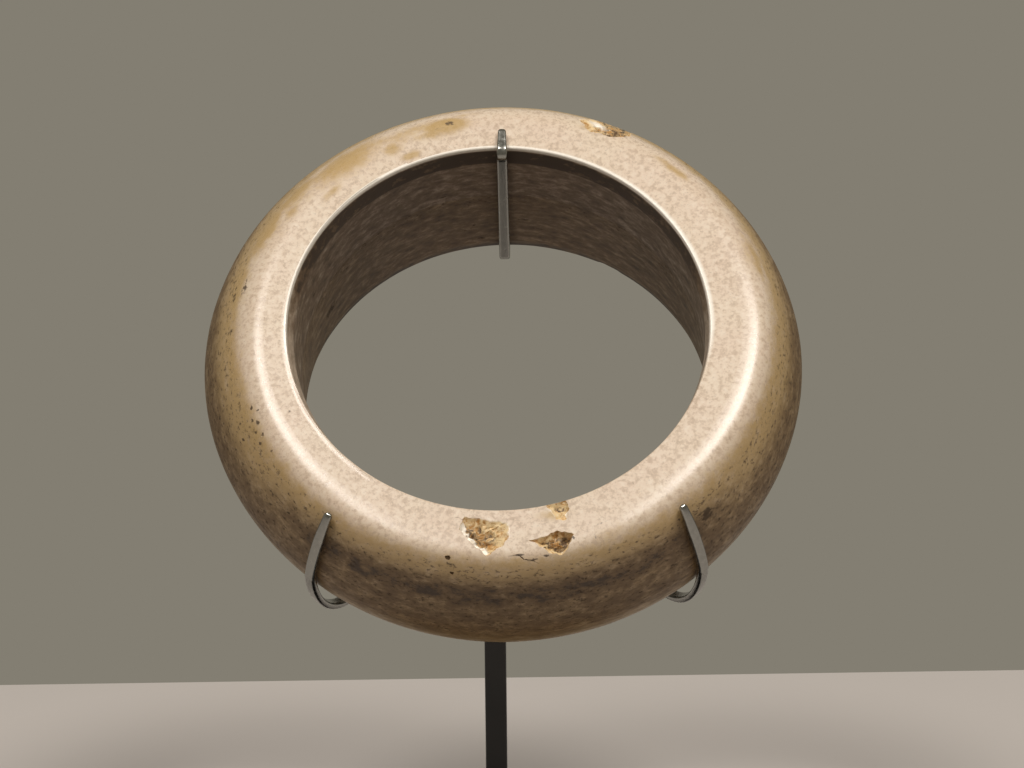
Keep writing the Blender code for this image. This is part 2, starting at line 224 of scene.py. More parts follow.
# The brown number also carries painted shade: in the bore, at the top of the lip's bevel, at the bore's
# rear edge and in a band low on the wall
brown = add_node(tree, "ShaderNodeAttribute", attribute_name="brown").outputs["Fac"]
blotches = add_node(tree, "ShaderNodeMapRange", {
    "Value": stain_edge, "From Min": 0.34, "From Max": 0.66, "To Min": 0.66, "To Max": 1.4})
brown = add_node(tree, "ShaderNodeMath", {0: brown, 1: blotches}, operation="MULTIPLY")
dirt = add_node(tree, "ShaderNodeAttribute", attribute_name="dirt").outputs["Fac"]
dirt = add_node(tree, "ShaderNodeMath", {0: dirt, 1: 0.6, 2: dirt_edge}, operation="MULTIPLY_ADD")

brown_and_shade_ramp = add_node(tree, "ShaderNodeMapRange", {"Value": brown, "From Min": 0.05, "From Max": 1.05})
# The pale number also carries the lip's painted highlight
pale_and_highlight = add_node(tree, "ShaderNodeAttribute", attribute_name="pale_and_highlight").outputs["Fac"]

tones = {0: clouds, 6: linear("DCC4AE"), 7: linear("DFCDB3")}
colour = tinted(tree, add_node(tree, "ShaderNodeMix", tones, data_type="RGBA").outputs[2], (
    (mottle, 0.5, 0.66, 0.55, "EADBC6"), (mottle, 0.52, 0.34, 0.52, "B29B84"),
    (grain, 0.56, 0.72, 0.45, "A08A72"), (ochre, 0.98, 1.65, 0.85, "B8985F"),
    (brown_and_shade_ramp, 0.0, 1.0, 0.92, "624A2E"), (brown, 0.98, 1.42, 0.8, "30231A"),
    (dirt, *DIRTY, 0.85, "3A2916"), (pale_and_highlight, 0.3, 0.9, 0.9, "FFF8EA")))
roughness = add_node(tree, "ShaderNodeMapRange", {
    "Value": mottle, "From Min": 0.3, "From Max": 0.7, "To Min": 0.22, "To Max": 0.34})
pitted = add_node(tree, "ShaderNodeMapRange", {
    "Value": dirt, "From Min": DIRTY[0], "From Max": DIRTY[1]}, interpolation_type="SMOOTHSTEP")
roughness = add_node(tree, "ShaderNodeMath", {0: brown_and_shade_ramp, 1: 0.3, 2: roughness}, operation="MULTIPLY_ADD")
roughness = add_node(tree, "ShaderNodeMath", {0: pitted, 1: 0.3, 2: roughness}, operation="MULTIPLY_ADD")
height = add_node(tree, "ShaderNodeMath", {0: grain, 1: 0.25, 2: mottle}, operation="MULTIPLY_ADD")
height = add_node(tree, "ShaderNodeMath", {0: pitted, 1: -1.2, 2: height}, operation="MULTIPLY_ADD")
bump = add_node(tree, "ShaderNodeBump", {"Strength": 0.3, "Distance": 0.06 * MM, "Height": height})
feed(tree, shader, {"Base Color": colour, "Roughness": roughness, "Normal": bump, "IOR": JADE_IOR})
print(jade.name, "has", len(tree.nodes), "nodes")

# %% [markdown]
# Where the bracelet was struck, the skin has flaked off and the inside shows: nephrite is felted
# from fibres, so it breaks with a rough, splintery surface. It is golden brown there from iron,
# darkened in the deepest places as painted shade, with a pale crushed edge along the rim of each scar.

# %% Build the broken jade material
broken, tree, shader, place = new_material("broken_nephrite")
splinters = add_node(tree, "ShaderNodeTexNoise", {
    "Vector": place, "Scale": per(0.9), "Detail": 6.0, "Roughness": 0.7, "Distortion": 0.8})
crumbs = add_node(tree, "ShaderNodeTexNoise", {
    "Vector": place, "Scale": per(0.32), "Detail": 4.0, "Roughness": 0.6})
depth = add_node(tree, "ShaderNodeAttribute", attribute_name="depth").outputs["Fac"]
# Painted shade: the deepest parts of a scar are darkened as if in their own shadow
painted_hollow_shade = add_node(tree, "ShaderNodeMath", {0: depth, 1: 0.5, 2: splinters}, operation="MULTIPLY_ADD")
near_rim = add_node(tree, "ShaderNodeMath", {0: crumbs, 1: 0.2, 2: depth}, operation="MULTIPLY_ADD")
soiled = add_node(tree, "ShaderNodeAttribute", attribute_name="dirt").outputs["Fac"]
soiled = add_node(tree, "ShaderNodeMath", {0: splinters, 1: 0.8, 2: soiled}, operation="MULTIPLY_ADD")
# The pale number also carries the lip's painted highlight
pale_and_highlight = add_node(tree, "ShaderNodeAttribute", attribute_name="pale_and_highlight").outputs["Fac"]
colour = tinted(tree, linear("B4813F"), (
    (splinters, 0.38, 0.54, 1.0, "E6CA98"), (crumbs, 0.56, 0.68, 0.8, "EBD9B8"),
    (painted_hollow_shade, 0.9, 1.06, 0.92, "4A2C12"), (near_rim, 0.3, 0.14, 0.6, "F6ECDC"),
    (soiled, 0.98, 1.16, 0.95, "26160B"), (pale_and_highlight, 0.3, 0.6, 0.95, "FFF8EA")))
bump = add_node(tree, "ShaderNodeBump", {"Strength": 0.6, "Distance": 0.2 * MM, "Height": splinters})
feed(tree, shader, {"Base Color": colour, "Roughness": 0.62, "Normal": bump, "IOR": JADE_IOR})
print(broken.name, "has", len(tree.nodes), "nodes")

# %% [markdown]
# The soil that is packed in the small pits is fine and matt, and nearly black in its shadow.

# %% Build the packed earth material
earth, tree, shader, place = new_material("packed_earth")
crumbs = add_node(tree, "ShaderNodeTexNoise", {"Vector": place, "Scale": per(0.3), "Detail": 4.0})
tones = {0: crumbs, 6: linear("2A1B0E"), 7: linear("7A5E3A")}
colour = add_node(tree, "ShaderNodeMix", tones, data_type="RGBA").outputs[2]
bump = add_node(tree, "ShaderNodeBump", {"Strength": 0.5, "Distance": 0.1 * MM, "Height": crumbs})
feed(tree, shader, {"Base Color": colour, "Roughness": 0.85, "Normal": bump})
print(earth.name, "has", len(tree.nodes), "nodes")

# %% [markdown]
# ## The section of the ring
# Cut across, the ring has a D shape. Its front face is flat out to a crown, worn round, where the
# wall falls away. The wall is two quarter superellipses that meet at the widest girth. The bore is
# nearly straight, with a small bevel at each end, and wear has rounded its corners. The section is
# a closed line of points, as radius and height.

# %% Draw the section
def superellipse(start, end, fullness, steps):
    """Points of a quarter superellipse, level at its start and upright at its end."""
    points = []
    for i in range(steps + 1):
        turn = i / steps * pi / 2
        across = sin(turn) ** (2 / fullness)
        along = 1 - max(cos(turn), 0.0) ** (2 / fullness)
        points.append((start[0] + (end[0] - start[0]) * across, start[1] + (end[1] - start[1]) * along))
    return points


def rounded(chain, steps=6):
    """A line through the inner corners of a chain of radius, height and rounding, each cut by a curve."""
    line = []
    for before, (x, y, size), after in zip(chain, chain[1:], chain[2:]):
        here = np.array((x, y))
        ends = []
        for other in (before, after):
            way = np.array(other[:2]) - here
            ends.append(here + way * min(size / np.linalg.norm(way), 0.45))
        for s in np.linspace(0, 1, steps):
            line.append(tuple(ends[0] * (1 - s) ** 2 + here * 2 * s * (1 - s) + ends[1] * s ** 2))
    return line


def close_points(line, spacing):
    """The same line with points added wherever two are further apart than the spacing."""
    points = []
    for here, there in zip(line, line[1:]):
        steps = max(1, round(hypot(there[0] - here[0], there[1] - here[1]) / spacing))
        for i in range(steps):
            points.append(tuple(a + (b - a) * i / steps for a, b in zip(here, there)))
    return points


# This far outside CROWN_RADIUS the shift of the crown is greatest, and its wear begins to fade
CROWN_MIDDLE = 1.6
WEAR_REACH = 2.5
SHIFT_REACH = 2.2
# The crown isn't quite round: how much further out it lies at these angles round the ring
CROWN_ANGLES = (-180, -150, -130, -110, -90, -65, -45, -25, 0, 45, 90, 135, 180)
CROWN_SHIFTS = (0.0, 0.3, 0.6, 1.4, 1.7, 1.2, 0.6, 0.7, 0.9, 0.2, 0.0, 0.0, 0.0)


def front_depth(radius, azimuth=90.0):
    """How deep the front wall lies at a radius: a flat face, a crown worn round, then a superellipse."""
    shift = np.interp(azimuth, CROWN_ANGLES, CROWN_SHIFTS)
    radius = radius - shift * np.exp(-((radius - CROWN_RADIUS - CROWN_MIDDLE) / SHIFT_REACH) ** 2)
    worn = 1 - np.clip((radius - CROWN_RADIUS - CROWN_MIDDLE) / WEAR_REACH, 0.0, 1.0)
    depths = []
    for way in (-1.0, -0.5, 0.0, 0.5, 1.0):
        near = radius + way * CROWN_WEAR * worn
        share = np.clip((near - CROWN_RADIUS) / (OUTER_RADIUS - CROWN_RADIUS), 0.0, 1.0)
        depths.append(WIDEST_DEPTH * (1 - (1 - share ** FRONT_FULLNESS) ** (1 / FRONT_FULLNESS)))
    return sum(depths) / len(depths)


WAIST_INSET = 0.95
BEVEL_DEPTH = 2.7
FRONT_SPACING = 0.36
REAR_SPACING = 0.55


def ring_section():
    girth = (OUTER_RADIUS, -WIDEST_DEPTH)
    front = superellipse((CROWN_RADIUS - CROWN_WEAR, 0.0), girth, FRONT_FULLNESS, 60)
    front = [(WALL_START, 0.0)] + [(radius, -front_depth(radius)) for radius, _ in front]
    rear = superellipse((REAR_LIP_RADIUS + LIP_LAND, -HEIGHT), girth, REAR_FULLNESS, 40)[-2::-1]
    # Radius, height and rounding: the rear rim and its bevel, the waist, the front bevel and the lip
    chain = [(REAR_LIP_RADIUS + LIP_LAND, -HEIGHT, 0.0), (REAR_LIP_RADIUS, -HEIGHT, 0.35),
             (LIP_RADIUS - 0.45, -HEIGHT + 2.0, 0.25), (LIP_RADIUS - WAIST_INSET, -HEIGHT / 2, 4.0),
             (LIP_RADIUS - 0.75, -BEVEL_DEPTH, 0.4), (LIP_RADIUS, 0.0, 0.32), (WALL_START, 0.0, 0.0)]
    behind = rear + rounded(chain) + front[:1]
    return close_points(front + rear[:1], FRONT_SPACING) + close_points(behind, REAR_SPACING)


section_points = ring_section()
print("the section has", len(section_points), "points")

# %% [markdown]
# ## Turning the ring with Geometry Nodes
# A shape that follows a rule suits Geometry Nodes. A flat grid is rolled up: one side of the grid
# runs round the ring, the other along the section, and each point looks up its radius and height in
# the section by its number. A small inward noise gives the slow waves that hand grinding leaves, and
# the bore slides sideways with depth, because it was drilled askew from both sides.

# %% Build the node tree that turns a section
def new_tree(name, sockets):
    """A node tree with a geometry output and these named inputs, and its input node."""
    tree = bpy.data.node_groups.new(name, "GeometryNodeTree")
    tree.interface.new_socket(name="Geometry", in_out="OUTPUT", socket_type="NodeSocketGeometry")
    for socket, kind in sockets:
        tree.interface.new_socket(name=socket, in_out="INPUT", socket_type="NodeSocket" + kind)
    return tree, tree.nodes.new("NodeGroupInput").outputs


def end_tree(tree, geometry, material):
    geometry = add_node(tree, "GeometryNodeSetShadeSmooth", {"Geometry": geometry})
    geometry = add_node(tree, "GeometryNodeRealizeInstances", {"Geometry": geometry})
    geometry = add_node(tree, "GeometryNodeSetMaterial", {"Geometry": geometry, "Material": material})
    add_node(tree, "NodeGroupOutput", {0: geometry})


turning, given = new_tree("ring_turning", (
    ("Section", "Geometry"), ("Steps around", "Int"), ("Points along", "Int"), ("Shift at front", "Float"),
    ("Shift at rear", "Float"), ("Height", "Float"), ("Bore limit", "Float"), ("Wave depth", "Float"),
    ("Wave length", "Float"), ("Seed", "Float"), ("Material", "Material")))
position = add_node(turning, "GeometryNodeInputPosition")
columns = add_node(turning, "ShaderNodeMath", {0: given["Steps around"], 1: 1.0}, operation="ADD")
rows = add_node(turning, "ShaderNodeMath", {0: given["Points along"], 1: 1.0}, operation="ADD")
grid = add_node(turning, "GeometryNodeMeshGrid", {
    "Size X": 1.0, "Size Y": 1.0, "Vertices X": columns, "Vertices Y": rows})
# A point of the grid lies between -0.5 and 0.5 each way: its x gives the angle, its y the section's point
flat = add_node(turning, "ShaderNodeSeparateXYZ", {0: position})
row = add_node(turning, "ShaderNodeMapRange", {
    "Value": flat.outputs["Y"], "From Min": -0.5, "From Max": 0.5, "To Max": given["Points along"]})
row = add_node(turning, "ShaderNodeMath", {0: row}, operation="ROUND")
row = add_node(turning, "ShaderNodeMath", {0: row, 1: given["Points along"]}, operation="FLOORED_MODULO")
looked_up = add_node(turning, "GeometryNodeSampleIndex", {
    "Geometry": given["Section"], "Value": position, "Index": row}, data_type="FLOAT_VECTOR")
spot = add_node(turning, "ShaderNodeSeparateXYZ", {0: looked_up})
back = add_node(turning, "ShaderNodeMath", {0: given["Height"], 1: -1.0}, operation="MULTIPLY")
slide = add_node(turning, "ShaderNodeMapRange", {
    "Value": spot.outputs["Z"], "From Min": 0.0, "From Max": back,
    "To Min": given["Shift at front"], "To Max": given["Shift at rear"]})
in_bore = add_node(turning, "ShaderNodeMath", {
    0: spot.outputs["X"], 1: given["Bore limit"]}, operation="LESS_THAN")
slide = add_node(turning, "ShaderNodeMath", {0: slide, 1: in_bore}, operation="MULTIPLY")
angle = add_node(turning, "ShaderNodeMath", {
    0: flat.outputs["X"], 1: 2 * pi, 2: pi}, operation="MULTIPLY_ADD")
cosine = add_node(turning, "ShaderNodeMath", {0: angle}, operation="COSINE")
sine = add_node(turning, "ShaderNodeMath", {0: angle}, operation="SINE")
x = add_node(turning, "ShaderNodeMath", {
    0: spot.outputs["X"], 1: cosine, 2: slide}, operation="MULTIPLY_ADD")
y = add_node(turning, "ShaderNodeMath", {0: spot.outputs["X"], 1: sine}, operation="MULTIPLY")
rolled = add_node(turning, "ShaderNodeCombineXYZ", {"X": x, "Y": y, "Z": spot.outputs["Z"]})
ring = add_node(turning, "GeometryNodeSetPosition", {"Geometry": grid, "Position": rolled})
ring = add_node(turning, "GeometryNodeMergeByDistance", {"Geometry": ring, "Distance": 0.0005})
ring = add_node(turning, "GeometryNodeFlipFaces", {"Mesh": ring})
frequency = add_node(turning, "ShaderNodeMath", {0: 1.0, 1: given["Wave length"]}, operation="DIVIDE")
waves = add_node(turning, "ShaderNodeTexNoise", {
    "W": given["Seed"], "Scale": frequency, "Detail": 2.0}, noise_dimensions="4D")
inwards = add_node(turning, "ShaderNodeMath", {0: waves, 1: given["Wave depth"]}, operation="MULTIPLY")
inwards = add_node(turning, "ShaderNodeMath", {0: inwards, 1: -1.0}, operation="MULTIPLY")
normal = add_node(turning, "GeometryNodeInputNormal")
push = add_node(turning, "ShaderNodeVectorMath", {0: normal, "Scale": inwards}, operation="SCALE")
ring = add_node(turning, "GeometryNodeSetPosition", {"Geometry": ring, "Offset": push})
end_tree(turning, ring, given["Material"])
print(turning.name, "has", len(turning.nodes), "nodes")

# %% [markdown]
# A node tree works on an object that carries it as a modifier. This helper gives the tree its base
# mesh and its values, takes the result as a plain mesh, and takes the helper object away again.

# %% Run a tree and keep its mesh
def line_mesh(points, closed):
    mesh = bpy.data.meshes.new("line")
    edges = [(i, i + 1) for i in range(len(points) - 1)]
    if closed:
        edges.append((len(points) - 1, 0))
    mesh.from_pydata(points, edges, [])
    return mesh


def result_of(made):
    """The mesh that an object's modifiers make."""
    return bpy.data.meshes.new_from_object(made.evaluated_get(bpy.context.evaluated_depsgraph_get()))


def grow(name, base, tree, values):
    """Runs the tree on a base mesh, and returns the mesh that comes out."""
    helper = add_object(name, base)
    modifier = helper.modifiers.new(name, "NODES")
    modifier.node_group = tree
    for socket in tree.interface.items_tree:
        if socket.in_out == "INPUT" and socket.name in values:
            modifier[socket.identifier] = values[socket.name]
    mesh = result_of(helper)
    bpy.data.objects.remove(helper)
    return mesh


ring_mesh = grow("turned_ring", line_mesh([(r, 0.0, z) for r, z in section_points], True), turning, {
    "Steps around": 540, "Points along": len(section_points), "Shift at front": BORE_SHIFT_FRONT,
    "Shift at rear": BORE_SHIFT_REAR, "Height": HEIGHT, "Bore limit": REAR_LIP_RADIUS + 0.3,
    "Wave depth": 0.1, "Wave length": 9.0, "Seed": 3.0, "Material": jade})
print("the turned ring has", len(ring_mesh.polygons), "faces")

# %% [markdown]
# ## Scars, flakes and pits
# A blow leaves a scar with a sharp rim and a splintery floor. Each scar is cut with a tool: a closed
# lump whose underside is that floor. Its outline is given by corners on the skin, each with an angle
# round the ring, a radius and how steeply the floor drops there, 0 for gentle and 1 for a cliff.
# A Boolean modifier takes all the tools out at once and hands their materials to the faces they cut.

# %% Find places on the skin
def skin_at(x, y):
    """The point of the front wall at this place in plan, and the normal there."""
    radius = min(hypot(x, y), OUTER_RADIUS - 0.05)
    azimuth = degrees(atan2(y, x))
    step = 0.02
    fall = (front_depth(radius + step, azimuth) - front_depth(radius - step, azimuth)) / (2 * step)
    normal = Vector((x / radius * fall, y / radius * fall, 1.0)).normalized()
    return Vector((x, y, -float(front_depth(radius, azimuth)))), normal


def plan(azimuth, radius):
    return np.array((radius * cos(radians(azimuth)), radius * sin(radians(azimuth))))


def directions(azimuth):
    """Unit vectors out from the middle and round the ring, at this angle."""
    out = Vector((cos(radians(azimuth)), sin(radians(azimuth)), 0.0))
    return out, Vector((-out.y, out.x, 0.0))


print("skin height 4 mm outside the lip:", round(-front_depth(LIP_RADIUS + 4), 2), "mm")

# %% Shape the cutting tools
OUTLINE_STEP = 0.22
FLOOR_RINGS = 12
RIM_LIFT = 0.4
LID_LIFT = 1.6
CRACK_STEP = 0.3
CRACK_LIFT = 0.2


def outline_of(corners, seed):
    """Points along the scar's outline in plan, a little ragged, with the steepness at each."""
    points = []
    for here, there in zip(corners, corners[1:] + corners[:1]):
        start, end = plan(*here[:2]), plan(*there[:2])
        steps = max(2, round(float(np.linalg.norm(end - start)) / OUTLINE_STEP))
        for i in range(steps):
            s = i / steps
            spot = start * (1 - s) + end * s
            rag = noise.noise_vector(Vector((*spot * 1.7, seed))) * 0.22
            points.append((spot + np.array(rag[:2]), here[2] * (1 - s) + there[2] * s))
    turning_area = sum(a[0] * b[1] - a[1] * b[0] for (a, _), (b, _) in zip(points, points[1:] + points[:1]))
    return points if turning_area < 0 else points[::-1]


def scar_tool(shape, deepest, bite, corners, seed):
    """Adds a closed lump to the shape, with a splintery underside as deep as the bite."""
    middle = plan(*deepest)
    outline = outline_of(corners, seed)
    rings = []
    for k in range(1, FLOOR_RINGS + 1):
        s = k / FLOOR_RINGS
        ring = []
        for rim, steepness in outline:
            spot = middle + (rim - middle) * s
            skin, normal = skin_at(*spot)
            splinter = noise.hetero_terrain(Vector((*spot * 1.5, seed)), 0.7, 2.2, 4, 0.6) - 0.6
            depth = bite * (1 - s ** (1.4 + 6 * steepness)) + bite * 0.35 * splinter * (1 - s ** 4)
            ring.append(shape.verts.new(skin - normal * max(depth, bite * 0.08 * (1 - s))))
        rings.append(ring)
    ring = []
    for rim, steepness in outline:
        skin, normal = skin_at(*(middle + (rim - middle) * 1.05))
        ring.append(shape.verts.new(skin + normal * RIM_LIFT))
    rings.append(ring)
    skin, normal = skin_at(*middle)
    floor = shape.verts.new(skin - normal * bite)
    lid = shape.verts.new(skin + normal * LID_LIFT)
    for i in range(len(outline)):
        j = (i + 1) % len(outline)
        shape.faces.new((floor, rings[0][i], rings[0][j]))
        shape.faces.new((lid, rings[-1][j], rings[-1][i]))
        for here, there in zip(rings, rings[1:]):
            shape.faces.new((here[j], here[i], there[i], there[j]))


def lump(shape, centre, axes, sizes, ragged, seed):
    """Adds a small uneven ball, with its half sizes along three axes."""
    made = bmesh.ops.create_icosphere(shape, subdivisions=3 if max(sizes) > 0.6 else 2, radius=1.0)
    for vertex in made["verts"]:
        swell = 1 + ragged * noise.noise(vertex.co * 1.6 + Vector((seed * 7.1, 0, 0)))
        offset = sum((axis * part * size for axis, part, size in zip(axes, vertex.co, sizes)), Vector())
        vertex.co = centre + offset * swell


def wall_axes(azimuth, radius):
    """A place on the front wall with its directions round the ring, across the wall and out."""
    skin, normal = skin_at(*plan(azimuth, radius))
    around = directions(azimuth)[1]
    return skin, (around, normal.cross(around), normal)


print("a scar's outline has a point every", OUTLINE_STEP, "mm")

# %% [markdown]
# The two flakes at the bottom of the front face, a nick in the lip beside them and a flake at the
# upper right are the large scars, and the rear rim has a nick too. Worn pits follow the stained belt
# of the wall on the left. The pits and cracks beside the flakes are still packed with soil.

# %% Cut the scars and the pits
SCARS = (
    ((-96.5, 33.6), 0.85, (
        (-99.6, 30.8, 0.4), (-92.0, 30.9, 0.0), (-88.0, 31.3, 0.0), (-88.0, 33.5, 0.1),
        (-89.8, 35.0, 0.5), (-93.1, 36.4, 1.0), (-96.9, 34.6, 1.0), (-100.3, 32.6, 1.0))),
    ((-77.4, 35.4), 0.95, (
        (-84.1, 34.2, 0.0), (-80.1, 34.0, 0.2), (-77.0, 33.4, 1.0), (-73.6, 34.5, 1.0),
        (-75.0, 35.8, 0.8), (-77.3, 37.0, 0.8), (-79.7, 36.5, 0.3), (-81.6, 35.4, 0.1))),
    ((-74.6, 30.8), 0.55, (
        (-78.6, 29.2, 0.1), (-72.6, 29.2, 1.0), (-72.6, 30.6, 1.0), (-74.3, 32.2, 0.8),
        (-76.8, 31.8, 0.0))),
    ((64.2, 35.9), 0.75, (
        (73.2, 36.9, 0.0), (70.7, 35.3, 0.2), (68.9, 34.4, 0.8), (66.3, 34.9, 0.4),
        (64.2, 34.8, 1.0), (62.0, 35.6, 1.0), (60.4, 37.3, 0.4), (62.7, 40.6, 0.3),
        (67.8, 40.4, 0.1))),
)
REAR_NICK_ANGLE = 60.0
REAR_NICK_SIZES = (2.6, 0.8, 0.62)
EARTH_PITS = (
    (-101.3, 37.0, 0.36, 0.3), (-100.1, 38.3, 0.28, 0.24), (-90.0, 38.3, 0.12, 0.1),
    (-80.5, 35.4, 0.4, 0.16), (-77.7, 36.5, 0.34, 0.2), (63.6, 35.3, 0.55, 0.3),
)
WORN_PITS = (
    (167.0, 36.8, 0.45, 0.22), (169.5, 36.7, 0.3, 0.2), (169.7, 37.7, 0.5, 0.28),
    (172.1, 38.2, 0.36, 0.2), (175.0, 37.4, 0.22, 0.18), (179.1, 37.8, 0.3, 0.2),
    (-177.9, 36.1, 0.2, 0.16), (-175.7, 37.1, 0.34, 0.14), (-160.1, 36.6, 0.26, 0.16),
    (-158.7, 36.2, 0.18, 0.16), (-157.5, 36.3, 0.24, 0.16), (-157.5, 37.1, 0.2, 0.14),
    (-156.1, 36.7, 0.3, 0.18), (-154.7, 37.1, 0.22, 0.2), (-152.9, 36.9, 0.26, 0.18),
    (-152.0, 37.4, 0.2, 0.16), (-150.6, 37.7, 0.3, 0.14), (-155.9, 39.0, 0.26, 0.18),
    (-154.9, 32.1, 0.18, 0.16), (118.4, 34.0, 0.3, 0.16), (115.7, 33.3, 0.26, 0.14),
    (-46.1, 38.5, 0.6, 0.24), (-72.4, 31.3, 0.2, 0.12),
)
CRACKS = (
    (((-66.4, 33.7), (-68.6, 34.4), (-69.2, 35.3), (-68.6, 36.2), (-66.4, 36.8)), 0.16, 0.08),
    (((-88.4, 36.3), (-86.6, 36.2), (-85.4, 36.9), (-83.6, 37.0), (-82.2, 37.4)), 0.3, 0.22),
    (((-96.6, 31.4), (-101.2, 31.0), (-102.4, 31.5)), 0.22, 0.12),
)


def crack_tool(shape, corners, width, bite):
    """Adds a thin wedge that follows a line on the skin and runs out at both ends."""
    line = []
    for here, there in zip(corners, corners[1:]):
        start, end = plan(*here), plan(*there)
        steps = max(2, round(float(np.linalg.norm(end - start)) / CRACK_STEP))
        line += [start + (end - start) * i / steps for i in range(steps)]
    line.append(plan(*corners[-1]))
    rings = []
    for i, spot in enumerate(line):
        before, after = line[max(i - 1, 0)], line[min(i + 1, len(line) - 1)]
        way = (after - before) / np.linalg.norm(after - before)
        skin, normal = skin_at(*spot)
        jitter = noise.noise_vector(Vector((*spot * 2.3, 4.0)))
        side = Vector((-way[1], way[0], 0.0))
        half = width / 2 * sin(pi * (i + 0.5) / len(line)) ** 0.5 * (1 + jitter.x)
        skin += side * jitter.y * 0.3
        above = skin + normal * CRACK_LIFT
        wedge = (above + side * half, skin - normal * bite, above - side * half)
        rings.append([shape.verts.new(corner) for corner in wedge])
    for here, there in zip(rings, rings[1:]):
        for i in range(3):
            j = (i + 1) % 3
            shape.faces.new((here[i], here[j], there[j], there[i]))
    shape.faces.new(rings[0][::-1])
    shape.faces.new(rings[-1])
    bmesh.ops.recalc_face_normals(shape, faces=shape.faces)


def object_from(name, shape, materials):
    """A linked mesh object made from a bmesh, with these materials."""
    mesh = bpy.data.meshes.new(name)
    shape.to_mesh(mesh)
    shape.free()
    for material in materials:
        mesh.materials.append(material)
    return add_object(name, mesh)


# noise_vector starts somewhere else in every session unless it is given a seed
noise.seed_set(2)
shape = bmesh.new()
for number, (deepest, bite, corners) in enumerate(SCARS):
    scar_tool(shape, deepest, bite, corners, number * 3.7)
rear = plan(REAR_NICK_ANGLE, REAR_LIP_RADIUS)
out, around = directions(REAR_NICK_ANGLE)
slope = Vector((-out.x, -out.y, -1.0)).normalized()
lump(shape, Vector((rear[0] + BORE_SHIFT_REAR, rear[1], -HEIGHT)), (around, slope.cross(around), slope),
     REAR_NICK_SIZES, 0.5, 5.0)
scar_tools = object_from("scar_tools", shape, [broken])
shape = bmesh.new()
for corners, width, bite in CRACKS:
    crack_tool(shape, corners, width, bite)
tools = [scar_tools, object_from("crack_tools", shape, [earth])]
for name, pits, size, material in (
        ("earth_pits", EARTH_PITS, 1.0, earth), ("worn_pits", WORN_PITS, 0.5, jade)):
    shape = bmesh.new()
    for azimuth, radius, length, width in pits:
        centre, axes = wall_axes(azimuth, radius)
        lump(shape, centre, axes, (length * size, width * size, width * size), 0.9, azimuth * 0.37)
    tools.append(object_from(name, shape, [material]))
for tool in tools:
    print(tool.name, "has", len(tool.data.vertices), "points")

# %% [markdown]
# The bore was ground by hand, and on the left its wall swells inwards by half a millimetre. The
# points of the bore and of the crown are moved first, and then the tools are taken out.

# %% Swell the bore and take the tools out
SWELLING = 0.5
SWELLING_ANGLE = 176
SWELLING_SPREAD = 32

places = np.array([v.co for v in ring_mesh.vertices])
angles = np.degrees(np.arctan2(places[:, 1], places[:, 0]))
radii = np.hypot(places[:, 0], places[:, 1])
from_left = (angles - SWELLING_ANGLE + 180) % 360 - 180
swelling = SWELLING * np.exp(-(from_left / SWELLING_SPREAD) ** 2)
swelling *= np.sin(np.clip(-places[:, 2] / HEIGHT, 0, 1) * pi)
swelling *= radii < LIP_RADIUS + 0.2
places[:, :2] *= (1 - swelling / radii)[:, None]
in_front = (radii > WALL_START) & (places[:, 2] > -WIDEST_DEPTH + 0.5)
places[in_front, 2] += front_depth(radii[in_front]) - front_depth(radii[in_front], angles[in_front])
ring_mesh.vertices.foreach_set("co", places.ravel())
bracelet = add_object("jade_ring", ring_mesh)
for tool in tools:
    cut = bracelet.modifiers.new(tool.name, "BOOLEAN")
    cut.operation = "DIFFERENCE"
    cut.solver = "EXACT"
    cut.material_mode = "TRANSFER"
    cut.object = tool
cut_mesh = result_of(bracelet)
bracelet.modifiers.clear()
bracelet.data = cut_mesh
for tool in tools:
    bpy.data.objects.remove(tool)
print("after cutting:", len(cut_mesh.polygons), "faces")

# %% [markdown]
# ## Where the stains, the painted shade and the painted highlight lie
# Each stain is an angle and a radius on the wall, a length round the ring, a width across it and a
# strength. The whole belt of the wall outside the crown is ochre too, and the back is browner,
# because soil lay against it longer. The bore is browner as well, partly stain and partly painted
# shade, and painted shade also darkens the top of the lip's bevel, the rear edge of the bore and a
# band low on the wall. A pale line painted along the lip is a painted highlight, and some edges of
# the scars are worn pale. The numbers go into attributes of the mesh.

# %% Lay the stains, the painted shade and the painted highlight
OCHRE = (
    (103.5, 34.3, 3.4, 1.7, 1.2), (106.8, 33.4, 2.6, 1.2, 0.8), (109.8, 33.4, 2.4, 1.1, 0.6),
    (99.3, 35.9, 3.0, 0.8, 0.4), (129.0, 35.6, 8.0, 3.4, 0.8), (113.0, 34.8, 6.0, 1.8, 0.55),
    (137.3, 32.6, 2.4, 0.8, 0.7), (117.9, 33.2, 1.6, 1.4, 0.8), (114.8, 31.0, 1.8, 0.7, 0.9),
    (147.0, 35.3, 2.0, 1.2, 0.6), (142.1, 37.2, 5.0, 2.2, 0.9), (152.9, 37.4, 6.0, 2.4, 0.95),
    (167.7, 38.2, 8.0, 2.4, 0.9), (-177.4, 38.2, 9.0, 2.0, 0.8), (-164.7, 39.0, 8.0, 2.6, 0.7),
    (-155.4, 37.5, 5.0, 1.8, 0.8), (-143.4, 37.2, 6.0, 1.6, 0.5), (18.4, 37.3, 5.0, 1.6, 0.7),
    (11.6, 39.1, 6.0, 1.6, 0.6), (47.4, 35.5, 3.6, 0.9, 0.7), (68.3, 35.1, 3.2, 0.6, 0.6),
    (-45.4, 39.1, 3.4, 2.6, 0.9), (-66.3, 36.0, 2.8, 1.8, 0.5), (-77.0, 30.9, 2.4, 0.9, 0.7),
    (-105.9, 37.9, 6.0, 1.6, 0.6),
)
